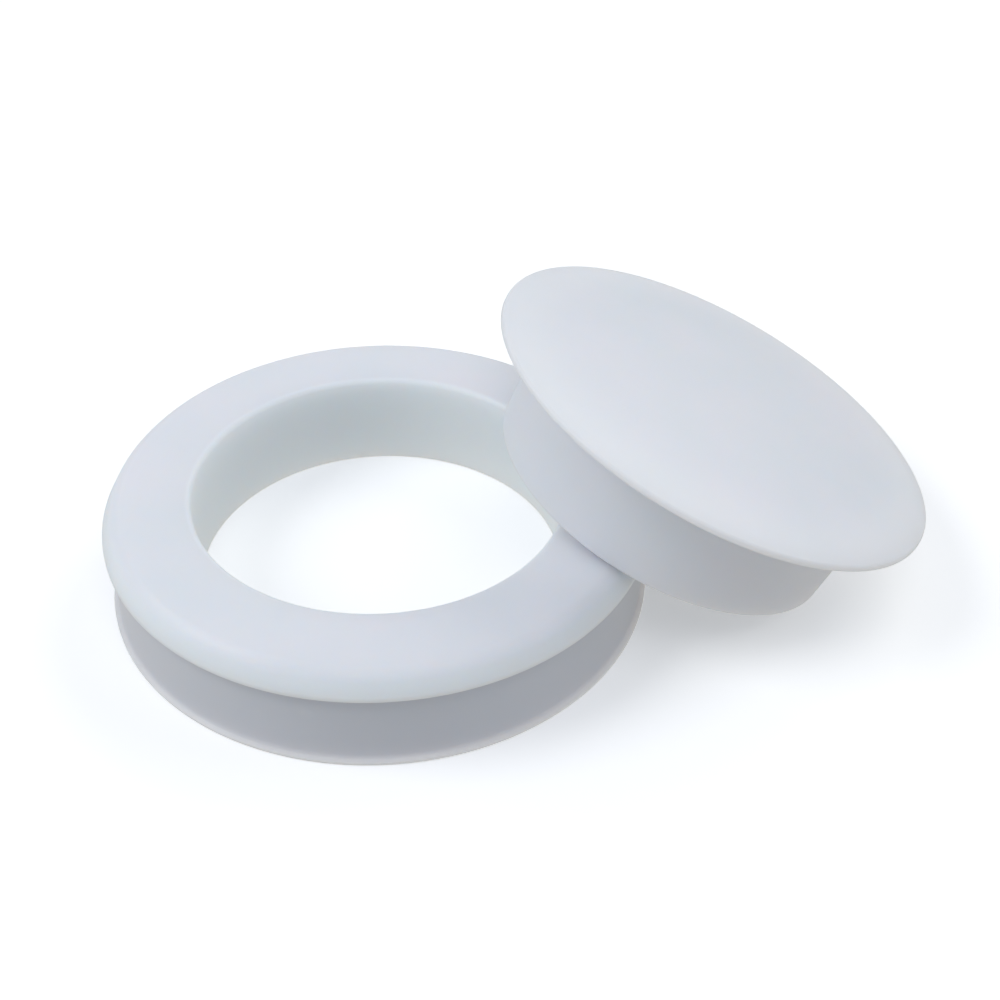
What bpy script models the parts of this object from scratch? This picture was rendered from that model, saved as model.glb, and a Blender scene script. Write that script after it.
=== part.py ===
"""Desk grommet in translucent silicone: a waisted ring for the hole and a domed cap that plugs it.

Both pieces are one-piece mouldings and bodies of revolution. They lie on a flat surface the way a
pair is laid out: the ring flat, and the cap leaning on it with its plug's rim on the surface.
Lengths are in metres, +Z is up, +X runs from the ring to the cap, and the origin is the middle of
the pair's footprint.
"""
from math import acos, cos, degrees, pi, radians, sin

import bpy

# The ring: a flange over a shallow waist that the panel's edge sits in, with a thin lip below.
FLANGE_RADIUS = 0.0380
FLANGE_UNDERSIDE = 0.0112
FLANGE_EDGE = 0.0008
FLANGE_ROUND = 0.0022
RING_HEIGHT = 0.0155
CROWN_RADIUS = 0.0118
CROWN_MIDDLE = 0.0307
BORE_RADIUS = 0.0258
MOUTH_ROUND = 0.0008
WAIST_RADIUS = 0.0370
FLARE_ROUND = 0.0012
LIP_RADIUS = 0.0381
LIP_HEIGHT = 0.0009

# The cap: a thin domed disc on a hollow plug that is open below.
DISC_RADIUS = 0.0329
DISC_EDGE = 0.0010
DISC_ROUND = 0.0007
DOME_HEIGHT = 0.0026
PLUG_RADIUS = 0.0257
PLUG_ROOT = 0.0263
PLUG_DEPTH = 0.0152
PLUG_WALL = 0.0035
PLUG_FILLET = 0.0008
CEILING = 0.0130
CEILING_FILLET = 0.0020

# Small radius of the moulded corners, and the number of facets round each piece.
CORNER = 0.0004
FACETS = 64

# How the pair lies: the ring's axis, the middle of the plug's rim, and the lean of the cap's axis.
RING_X = -0.01965
CAP_REACH = 0.0410
LEAN = radians(23.4)


def arc(centre, radius, start, end, steps):
    """Points of an arc in the (radius, height) half-plane, its angles in degrees from outwards."""
    points = []
    for i in range(steps + 1):
        angle = radians(start + (end - start) * i / steps)
        points.append((centre[0] + radius * cos(angle), centre[1] + radius * sin(angle)))
    return points


def crown_height(r):
    """Height of the ring's crowned top at radius r."""
    return RING_HEIGHT - CROWN_RADIUS + (CROWN_RADIUS ** 2 - (r - CROWN_MIDDLE) ** 2) ** 0.5


def ring_section():
    """Closed cross-section of the ring: down the outside, in along the base, up the bore."""
    edge = (FLANGE_RADIUS - FLANGE_ROUND, FLANGE_UNDERSIDE + FLANGE_EDGE)
    mouth = BORE_RADIUS + MOUTH_ROUND
    section = arc(edge, FLANGE_ROUND, 60, 0, 3)
    section += arc((FLANGE_RADIUS - CORNER, FLANGE_UNDERSIDE + CORNER), CORNER, 0, -90, 2)
    section += [(WAIST_RADIUS, FLANGE_UNDERSIDE)]
    lip = LIP_RADIUS - CORNER
    flare_middle = WAIST_RADIUS + FLARE_ROUND
    flare_turn = acos((flare_middle - lip) / FLARE_ROUND)
    flare = (flare_middle, LIP_HEIGHT + FLARE_ROUND * sin(flare_turn))
    section += arc(flare, FLARE_ROUND, 180, 180 + degrees(flare_turn), 4)
    section += arc((lip, LIP_HEIGHT - CORNER), CORNER, 60, 0, 2)
    section += arc((lip, CORNER), CORNER, 0, -90, 2)
    section += arc((BORE_RADIUS + CORNER, CORNER), CORNER, 270, 180, 2)
    section += arc((mouth, crown_height(mouth) - MOUTH_ROUND), MOUTH_ROUND, 180, 130, 3)
    crown_end = edge[0] - FLANGE_ROUND
    for i in range(7):
        r = mouth + (crown_end - mouth) * i / 6
        section.append((r, crown_height(r)))
    return section


def cap_section():
    """Open cross-section of the cap: over the dome, round the disc, down the plug and up inside."""
    edge_top = PLUG_DEPTH + DISC_EDGE
    dome_radius = (DISC_RADIUS ** 2 + DOME_HEIGHT ** 2) / (2 * DOME_HEIGHT)
    inside = PLUG_RADIUS - PLUG_WALL
    section = []
    for i in range(9):
        r = (DISC_RADIUS - DISC_ROUND) * i / 8
        drop = dome_radius - (dome_radius ** 2 - r ** 2) ** 0.5
        section.append((r, edge_top + DOME_HEIGHT - drop))
    section += arc((DISC_RADIUS - DISC_ROUND, edge_top - DISC_ROUND), DISC_ROUND, 60, 0, 2)
    section += arc((DISC_RADIUS - CORNER, PLUG_DEPTH + CORNER), CORNER, -30, -90, 2)
    section += arc((PLUG_ROOT + PLUG_FILLET, PLUG_DEPTH - PLUG_FILLET), PLUG_FILLET, 90, 180, 3)
    section += arc((PLUG_RADIUS - CORNER, CORNER), CORNER, 0, -90, 2)
    section += arc((inside + CORNER, CORNER), CORNER, 270, 180, 2)
    section += arc((inside - CEILING_FILLET, CEILING - CEILING_FILLET), CEILING_FILLET, 0, 90, 4)
    section.append((0.0, CEILING))
    return section


def silicone(name, colour, roughness):
    """Principled material of one moulding."""
    material = bpy.data.materials.new(name)
    material.use_nodes = True
    shader = material.node_tree.nodes["Principled BSDF"]
    shader.inputs["Base Color"].default_value = colour
    shader.inputs["Roughness"].default_value = roughness
    shader.inputs["Metallic"].default_value = 0.0
    return material


def turned(name, section, closed, material, collection):
    """A body of revolution about its own Z axis, from a section with a Screw modifier."""
    edges = [(i, i + 1) for i in range(len(section) - 1)]
    if closed:
        edges.append((len(section) - 1, 0))
    mesh = bpy.data.meshes.new(name)
    mesh.from_pydata([(r, 0.0, z) for r, z in section], edges, [])
    mesh.materials.append(material)
    piece = bpy.data.objects.new(name, mesh)
    collection.objects.link(piece)
    screw = piece.modifiers.new("turn", "SCREW")
    screw.axis = "Z"
    screw.angle = 2 * pi
    screw.steps = FACETS
    screw.render_steps = FACETS
    screw.use_merge_vertices = True
    screw.merge_threshold = 0.00001
    screw.use_smooth_shade = True
    return piece


for old in list(bpy.data.objects):
    bpy.data.objects.remove(old, do_unlink=True)

grommet = bpy.data.collections.new("desk_grommet")
bpy.context.scene.collection.children.link(grommet)

# The ring lies flat on its base.
ring_silicone = silicone("ring_silicone", (0.65, 0.69, 0.74, 1.0), 0.35)
ring = turned("ring", ring_section(), True, ring_silicone, grommet)
ring.location = (RING_X, 0.0, 0.0)

# The cap's origin is the middle of its plug's rim; its lift is straight up through that point.
cap_silicone = silicone("cap_silicone", (0.72, 0.74, 0.79, 1.0), 0.35)
cap = turned("cap", cap_section(), False, cap_silicone, grommet)
rim_height = (PLUG_RADIUS - CORNER) * sin(LEAN) + CORNER * (1 - cos(LEAN))
cap.location = (RING_X + CAP_REACH, 0.0, rim_height)
cap.rotation_euler = (0.0, LEAN, 0.0)
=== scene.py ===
"""Desk grommet: a milky silicone ring for the hole, and the domed cap that plugs it."""
from math import cos, pi, radians, sin, tan

import bmesh
import bpy
from mathutils import Matrix, Vector


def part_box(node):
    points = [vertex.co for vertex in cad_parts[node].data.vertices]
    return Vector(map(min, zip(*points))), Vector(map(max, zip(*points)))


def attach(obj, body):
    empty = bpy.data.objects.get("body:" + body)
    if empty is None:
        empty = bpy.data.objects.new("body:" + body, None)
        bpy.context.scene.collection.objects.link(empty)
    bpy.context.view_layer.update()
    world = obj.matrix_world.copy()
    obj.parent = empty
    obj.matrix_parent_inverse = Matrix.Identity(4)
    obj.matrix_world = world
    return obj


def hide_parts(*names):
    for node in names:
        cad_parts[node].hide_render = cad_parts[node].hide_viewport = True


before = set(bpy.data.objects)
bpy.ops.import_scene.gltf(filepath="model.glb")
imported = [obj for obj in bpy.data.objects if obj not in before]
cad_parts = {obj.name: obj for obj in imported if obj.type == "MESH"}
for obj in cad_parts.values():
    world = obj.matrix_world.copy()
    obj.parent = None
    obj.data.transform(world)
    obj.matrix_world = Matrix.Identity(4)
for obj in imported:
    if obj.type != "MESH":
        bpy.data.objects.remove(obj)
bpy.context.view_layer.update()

# ---- Ring ----------------------------------------------------------------------------------------
# One moulding in soft translucent silicone, pushed into the hole in the panel. Its flange has a broad
# arched crown, the panel's edge sits in the shallow waist, and the thin lip below holds it there.

RING_TURNS = 240

# Corners of the ring's section in mm, from its axis out and the base up, and each one's radius.
RING_CORNERS = [
    (25.80, 0.00, 0.40),
    (38.08, 0.00, 0.20),
    (38.08, 0.45, 0.15),
    (37.35, 0.80, 0.60),
    (37.00, 11.20, 0.30),
    (38.00, 11.20, 0.12),
    (38.00, 11.75, 0.80),
    (36.50, 14.50, 2.90),
    (31.60, 16.05, 13.60),
    (25.80, 14.56, 0.80),
]

# The gate mark's place in the waist, from the middle of the ring's base, in metres.
RING_GATE = (-0.01137, -0.03535, 0.0077)

# Longest edge left along a section, and the distance within which points of a mesh are one, in metres.
SECTION_STEP = 0.0012
SAME_POINT = 0.000002


def section_wire(piece, corners, closed):
    """The wire of a turned section: its corners joined up, each one rounded to its own radius."""
    points = [piece.verts.new((r / 1000, 0.0, z / 1000)) for r, z, _ in corners]
    count = len(points)
    for i in range(count if closed else count - 1):
        piece.edges.new((points[i], points[(i + 1) % count]))
    for i, (_, _, radius) in enumerate(corners):
        if radius == 0:
            continue
        before = Vector(corners[i - 1][:2]) - Vector(corners[i][:2])
        after = Vector(corners[(i + 1) % count][:2]) - Vector(corners[i][:2])
        turn = pi - before.angle(after)
        reach = radius * tan(turn / 2)
        bmesh.ops.bevel(piece, geom=[points[i]], offset=reach / 1000, offset_type="OFFSET",
                        affect="VERTICES", segments=max(4, round(turn * (6 + radius))),
                        profile=0.5, material=-1)
    for edge in list(piece.edges):
        cuts = int(edge.calc_length() / SECTION_STEP)
        if cuts:
            bmesh.ops.subdivide_edges(piece, edges=[edge], cuts=cuts)


def turn_section(piece, turns):
    """Spins the wire a full turn about the Z axis and closes it."""
    bmesh.ops.spin(piece, geom=piece.verts[:] + piece.edges[:], cent=(0, 0, 0), axis=(0, 0, 1),
                   dvec=(0, 0, 0), angle=2 * pi, steps=turns, use_merge=True)
    bmesh.ops.remove_doubles(piece, verts=piece.verts[:], dist=SAME_POINT)
    bmesh.ops.recalc_face_normals(piece, faces=piece.faces[:])


def finished(name, piece):
    """The piece's mesh as a smooth-shaded object at the origin."""
    for face in piece.faces:
        face.smooth = True
    mesh = bpy.data.meshes.new(name)
    piece.to_mesh(mesh)
    piece.free()
    made = bpy.data.objects.new(name, mesh)
    bpy.context.scene.collection.objects.link(made)
    return made


def linear(code):
    """An sRGB hex colour as linear RGBA."""
    values = [int(code[i:i + 2], 16) / 255 for i in (0, 2, 4)]
    return [v / 12.92 if v <= 0.04045 else ((v + 0.055) / 1.055) ** 2.4 for v in values] + [1.0]


def add_node(owner, kind, settings, links=()):
    """Adds one node; settings name its properties or its sockets, links are (socket, output)."""
    node = owner.node_tree.nodes.new(kind)
    for name, value in settings.items():
        if isinstance(name, str) and hasattr(node, name):
            setattr(node, name, value)
        else:
            node.inputs[name].default_value = value
    for name, output in links:
        owner.node_tree.links.new(output, node.inputs[name])
    return node


# How far light spreads below the skin of milky silicone, in metres.
SCATTER_LENGTH = 0.0045


def moulded_silicone(name, thick, thin, gate):
    """Milky liquid silicone rubber from a satin mould: cloudy below the skin, fine satin on it."""
    material = bpy.data.materials.new(name)
    material.use_nodes = True
    material.node_tree.nodes.clear()
    place = add_node(material, "ShaderNodeTexCoord", {})
    # The silica filler never mixes quite evenly, so faint clouds about 14 mm across show below the skin.
    clouds = add_node(material, "ShaderNodeTexNoise",
                      {"Scale": 1 / 0.014, "Detail": 2.0, "Roughness": 0.45},
                      [("Vector", place.outputs["Object"])])
    milk = add_node(material, "ShaderNodeMix", {"data_type": "RGBA", 6: linear(thick), 7: linear(thin)},
                    [(0, clouds.outputs["Fac"])])
    # The mould was filled through a gate 1.6 mm across, whose cut end is a little paler and proud.
    from_gate = add_node(material, "ShaderNodeVectorMath", {"operation": "DISTANCE", 1: gate},
                         [(0, place.outputs["Object"])])
    gate_mark = add_node(material, "ShaderNodeMapRange",
                         {"interpolation_type": "SMOOTHSTEP", "From Min": 0.0005, "From Max": 0.0011,
                          "To Min": 0.45, "To Max": 0.0},
                         [("Value", from_gate.outputs["Value"])])
    pale = add_node(material, "ShaderNodeMix", {"data_type": "RGBA", 7: linear("ffffff")},
                    [(0, gate_mark.outputs["Result"]), (6, milk.outputs[2])])
    # The mould's satin is near 0.05 mm; it is drawn at 0.35 mm so that it shows.
    satin = add_node(material, "ShaderNodeTexNoise", {"Scale": 1 / 0.00035, "Detail": 3.0},
                     [("Vector", place.outputs["Object"])])
    relief = add_node(material, "ShaderNodeBump", {"Strength": 0.12, "Distance": 0.00005},
                      [("Height", satin.outputs["Fac"])])
    cut = add_node(material, "ShaderNodeBump", {"Strength": 0.5, "Distance": 0.0001},
                   [("Height", gate_mark.outputs["Result"]), ("Normal", relief.outputs["Normal"])])
    # Handling leaves the satin a little smoother in patches about 6 mm across.
    wear = add_node(material, "ShaderNodeTexNoise", {"Scale": 1 / 0.006, "Detail": 4.0},
                    [("Vector", place.outputs["Object"])])
    gloss = add_node(material, "ShaderNodeMapRange",
                     {"From Min": 0.3, "From Max": 0.7, "To Min": 0.38, "To Max": 0.46},
                     [("Value", wear.outputs["Fac"])])
    shader = add_node(material, "ShaderNodeBsdfPrincipled",
                      {"IOR": 1.41, "Metallic": 0.0, "Subsurface Weight": 1.0,
                       "Subsurface Radius": (1.0, 0.85, 0.75),
                       "Subsurface Scale": SCATTER_LENGTH},
                      [("Base Color", pale.outputs[2]), ("Roughness", gloss.outputs["Result"]),
                       ("Normal", cut.outputs["Normal"])])
    add_node(material, "ShaderNodeOutputMaterial", {}, [("Surface", shader.outputs["BSDF"])])
    return material


ring_low, ring_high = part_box("ring")
ring_axis = Vector(((ring_low.x + ring_high.x) / 2, (ring_low.y + ring_high.y) / 2, ring_low.z))

body = bmesh.new()
section_wire(body, RING_CORNERS, True)
turn_section(body, RING_TURNS)
bmesh.ops.translate(body, vec=ring_axis, verts=body.verts[:])
ring = finished("silicone_ring", body)
ring_gate = ring_axis + Vector(RING_GATE)
ring_silicone = moulded_silicone("ring_milky_silicone", "dfe6ea", "eae9ee", ring_gate)
ring.data.materials.append(ring_silicone)

# Painted light and shade: the clouded body is painted paler round the bore and out at the flange's edge,
# where light comes through the silicone, and painted greyer in the waist, where the flange shades it.
# Each painted tone fades in or out over these two radii or, where the waist meets the flange, two
# heights.
BORE_FADE = (0.0258, 0.0268)
RIM_FADE = (0.0356, 0.0376)
FLANGE_FADE = (0.0110, 0.0113)

skin = ring_silicone.node_tree.nodes["Principled BSDF"].inputs["Base Color"]
inside = ring_silicone.node_tree.nodes["Texture Coordinate"].outputs["Object"]
from_axis = add_node(ring_silicone, "ShaderNodeVectorMath", {"operation": "SUBTRACT", 1: ring_axis},
                     [(0, inside)])
level = add_node(ring_silicone, "ShaderNodeVectorMath", {"operation": "MULTIPLY", 1: (1, 1, 0)},
                 [(0, from_axis.outputs["Vector"])])
radius = add_node(ring_silicone, "ShaderNodeVectorMath", {"operation": "LENGTH"},
                  [(0, level.outputs["Vector"])])
upright = add_node(ring_silicone, "ShaderNodeSeparateXYZ", {},
                   [("Vector", from_axis.outputs["Vector"])])
# Painted light: the bore's wall is painted paler, standing in for light through the skin beside it.
bore_painted_light = add_node(ring_silicone, "ShaderNodeMapRange",
                   {"interpolation_type": "SMOOTHSTEP", "From Min": BORE_FADE[0],
                    "From Max": BORE_FADE[1], "To Min": 1.0, "To Max": 0.0},
                   [("Value", radius.outputs["Value"])])
outside = add_node(ring_silicone, "ShaderNodeMapRange",
                   {"interpolation_type": "SMOOTHSTEP", "From Min": RIM_FADE[0],
                    "From Max": RIM_FADE[1]},
                   [("Value", radius.outputs["Value"])])
flange = add_node(ring_silicone, "ShaderNodeMapRange",
                  {"From Min": FLANGE_FADE[0], "From Max": FLANGE_FADE[1]},
                  [("Value", upright.outputs["Z"])])
# Painted light: the flange's edge is painted paler, standing in for its glow.
edge_painted_light = add_node(ring_silicone, "ShaderNodeMath", {"operation": "MULTIPLY"},
                   [(0, outside.outputs["Result"]), (1, flange.outputs["Result"])])
# Painted shade: the waist under the flange is painted greyer, standing in for the flange's shade.
waist_painted_shade = add_node(ring_silicone, "ShaderNodeMath", {"operation": "SUBTRACT"},
                    [(0, outside.outputs["Result"]), (1, edge_painted_light.outputs["Value"])])
painted_light_mask = add_node(ring_silicone, "ShaderNodeMath", {"operation": "MAXIMUM"},
                   [(0, bore_painted_light.outputs["Result"]), (1, edge_painted_light.outputs["Value"])])
# The painted light and then the painted shade are mixed over the silicone's own clouded colour.
painted_light_tone = add_node(ring_silicone, "ShaderNodeMix", {"data_type": "RGBA", 7: linear("ebf2f8")},
                 [(0, painted_light_mask.outputs["Value"]), (6, skin.links[0].from_socket)])
painted_shade_tone = add_node(ring_silicone, "ShaderNodeMix", {"data_type": "RGBA", 7: linear("d0d4db")},
                  [(0, waist_painted_shade.outputs["Value"]), (6, painted_light_tone.outputs[2])])
ring_silicone.node_tree.links.new(painted_shade_tone.outputs[2], skin)
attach(ring, "ring")
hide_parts("ring")

# ---- Cap -----------------------------------------------------------------------------------------
# One moulding in the same silicone: a thin domed disc on a hollow plug. The plug widens a little to
# its root, so it squeezes into the ring's bore. Here it leans on the ring with its rim on the table.

CAP_TURNS = 240
CAP_LEAN = radians(23.4)

# In metres: from the ring's axis to the middle of the plug's rim, the flat rim's outer radius and the
# radius of its edge, which rests on the table, and the ceiling's height inside the plug.
PLUG_REACH = 0.0410
RIM_HALF = 0.0253
RIM_ROUND = 0.0004
CEILING = 0.0130

# Corners of the cap's section in mm, from its axis out and the plug's rim up, and each one's radius.
CAP_CORNERS = [
    (0.00, 18.75, 0.00),
    (16.13, 18.75, 185.00),
    (30.60, 16.70, 9.00),
    (32.81, 16.05, 0.45),
    (32.81, 15.20, 0.25),
    (26.30, 15.20, 0.80),
    (25.70, 0.00, 0.50),
    (22.20, 0.00, 0.40),
    (22.20, 13.00, 2.00),
    (0.00, 13.00, 0.00),
]

body = bmesh.new()
section_wire(body, CAP_CORNERS, False)
turn_section(body, CAP_TURNS)
bmesh.ops.rotate(body, cent=(0, 0, 0), matrix=Matrix.Rotation(CAP_LEAN, 3, "Y"), verts=body.verts[:])
rim_height = RIM_HALF * sin(CAP_LEAN) + RIM_ROUND * (1 - cos(CAP_LEAN))
rim_middle = Vector((ring_axis.x + PLUG_REACH, ring_axis.y, rim_height))
bmesh.ops.translate(body, vec=rim_middle, verts=body.verts[:])
cap = finished("silicone_cap", body)

# This one's gate is hidden inside the plug, in the middle of the ceiling.
cap_gate = rim_middle + Vector((sin(CAP_LEAN), 0, cos(CAP_LEAN))) * CEILING
cap.data.materials.append(moulded_silicone("cap_milky_silicone", "dfe6ea", "eae9ee", cap_gate))
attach(cap, "cap")
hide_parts("cap")

# ---- Table, light and camera ---------------------------------------------------------------------
# A plain white table top under soft studio light, most of it from the left and from behind, and a
# 50 mm lens looking down at the pair from the front.

# Half the table's width and its small distance below the pair, in metres.
TABLE_HALF = 3.0
TABLE_GAP = 0.00002

table_mesh = bmesh.new()
bmesh.ops.create_grid(table_mesh, x_segments=1, y_segments=1, size=TABLE_HALF)
bmesh.ops.translate(table_mesh, vec=(0, 0, -TABLE_GAP), verts=table_mesh.verts[:])
table = finished("table_top", table_mesh)
paper = bpy.data.materials.new("white_paper")
paper.use_nodes = True
paper.node_tree.nodes.clear()
sheet = add_node(paper, "ShaderNodeBsdfPrincipled",
                 {"Base Color": linear("f7f8f8"), "Roughness": 0.9, "Specular IOR Level": 0.1,
                  "Emission Color": linear("ffffff"), "Emission Strength": 0.25})
add_node(paper, "ShaderNodeOutputMaterial", {}, [("Surface", sheet.outputs["BSDF"])])
table.data.materials.append(paper)

# The table only takes the shadows. The light it would throw up comes from the studio's lower half.
table.visible_diffuse = False
table.visible_shadow = False
table.visible_transmission = False
table.visible_glossy = False

world = bpy.data.worlds.new("studio")
bpy.context.scene.world = world
world.use_nodes = True
world.node_tree.nodes.clear()
around = add_node(world, "ShaderNodeTexCoord", {})
direction = add_node(world, "ShaderNodeSeparateXYZ", {}, [("Vector", around.outputs["Generated"])])
horizon = add_node(world, "ShaderNodeMapRange", {"From Min": -0.02, "From Max": 0.02},
                   [("Value", direction.outputs["Z"])])
walls = add_node(world, "ShaderNodeMix",
                 {"data_type": "RGBA", 6: linear("c8c7c3"), 7: linear("9ba0ab")},
                 [(0, horizon.outputs["Result"])])
room = add_node(world, "ShaderNodeBackground", {}, [("Color", walls.outputs[2])])
add_node(world, "ShaderNodeOutputWorld", {}, [("Surface", room.outputs["Background"])])

# Soft boxes: name, compass direction and height in degrees, power in watts, and colour.
SOFTBOX_WIDTH = 0.7
SOFTBOX_DISTANCE = 1.2
SOFTBOXES = [
    ("left_softbox", 180, 44, 5.2, "ffffff"),
    ("right_softbox", 0, 40, 1.8, "ffffff"),
    ("back_softbox", 45, 40, 2.8, "fffdf2"),
    ("overhead_softbox", 270, 68, 2.3, "ffffff"),
]
for name, compass, height, power, colour in SOFTBOXES:
    softbox = bpy.data.lights.new(name, "AREA")
    softbox.shape = "DISK"
    softbox.size = SOFTBOX_WIDTH
    softbox.energy = power
    softbox.color = linear(colour)[:3]
    raised = Matrix.Rotation(radians(-height), 3, "Y") @ Vector((1, 0, 0))
    towards = Matrix.Rotation(radians(compass), 3, "Z") @ raised
    lamp = bpy.data.objects.new(name, softbox)
    lamp.location = towards * SOFTBOX_DISTANCE
    lamp.rotation_euler = towards.to_track_quat("Z", "Y").to_euler()
    bpy.context.scene.collection.objects.link(lamp)

lens = bpy.data.cameras.new("camera")
lens.sensor_width = 36.0
lens.lens = 49.45
lens.clip_start = 0.01
camera = bpy.data.objects.new("camera", lens)
camera.location = (-0.02498, -0.15115, 0.13256)
camera.rotation_euler = (radians(51.317), radians(-0.940), radians(-7.663))
bpy.context.scene.collection.objects.link(camera)
bpy.context.scene.camera = camera
bpy.context.scene.view_settings.view_transform = "Standard"
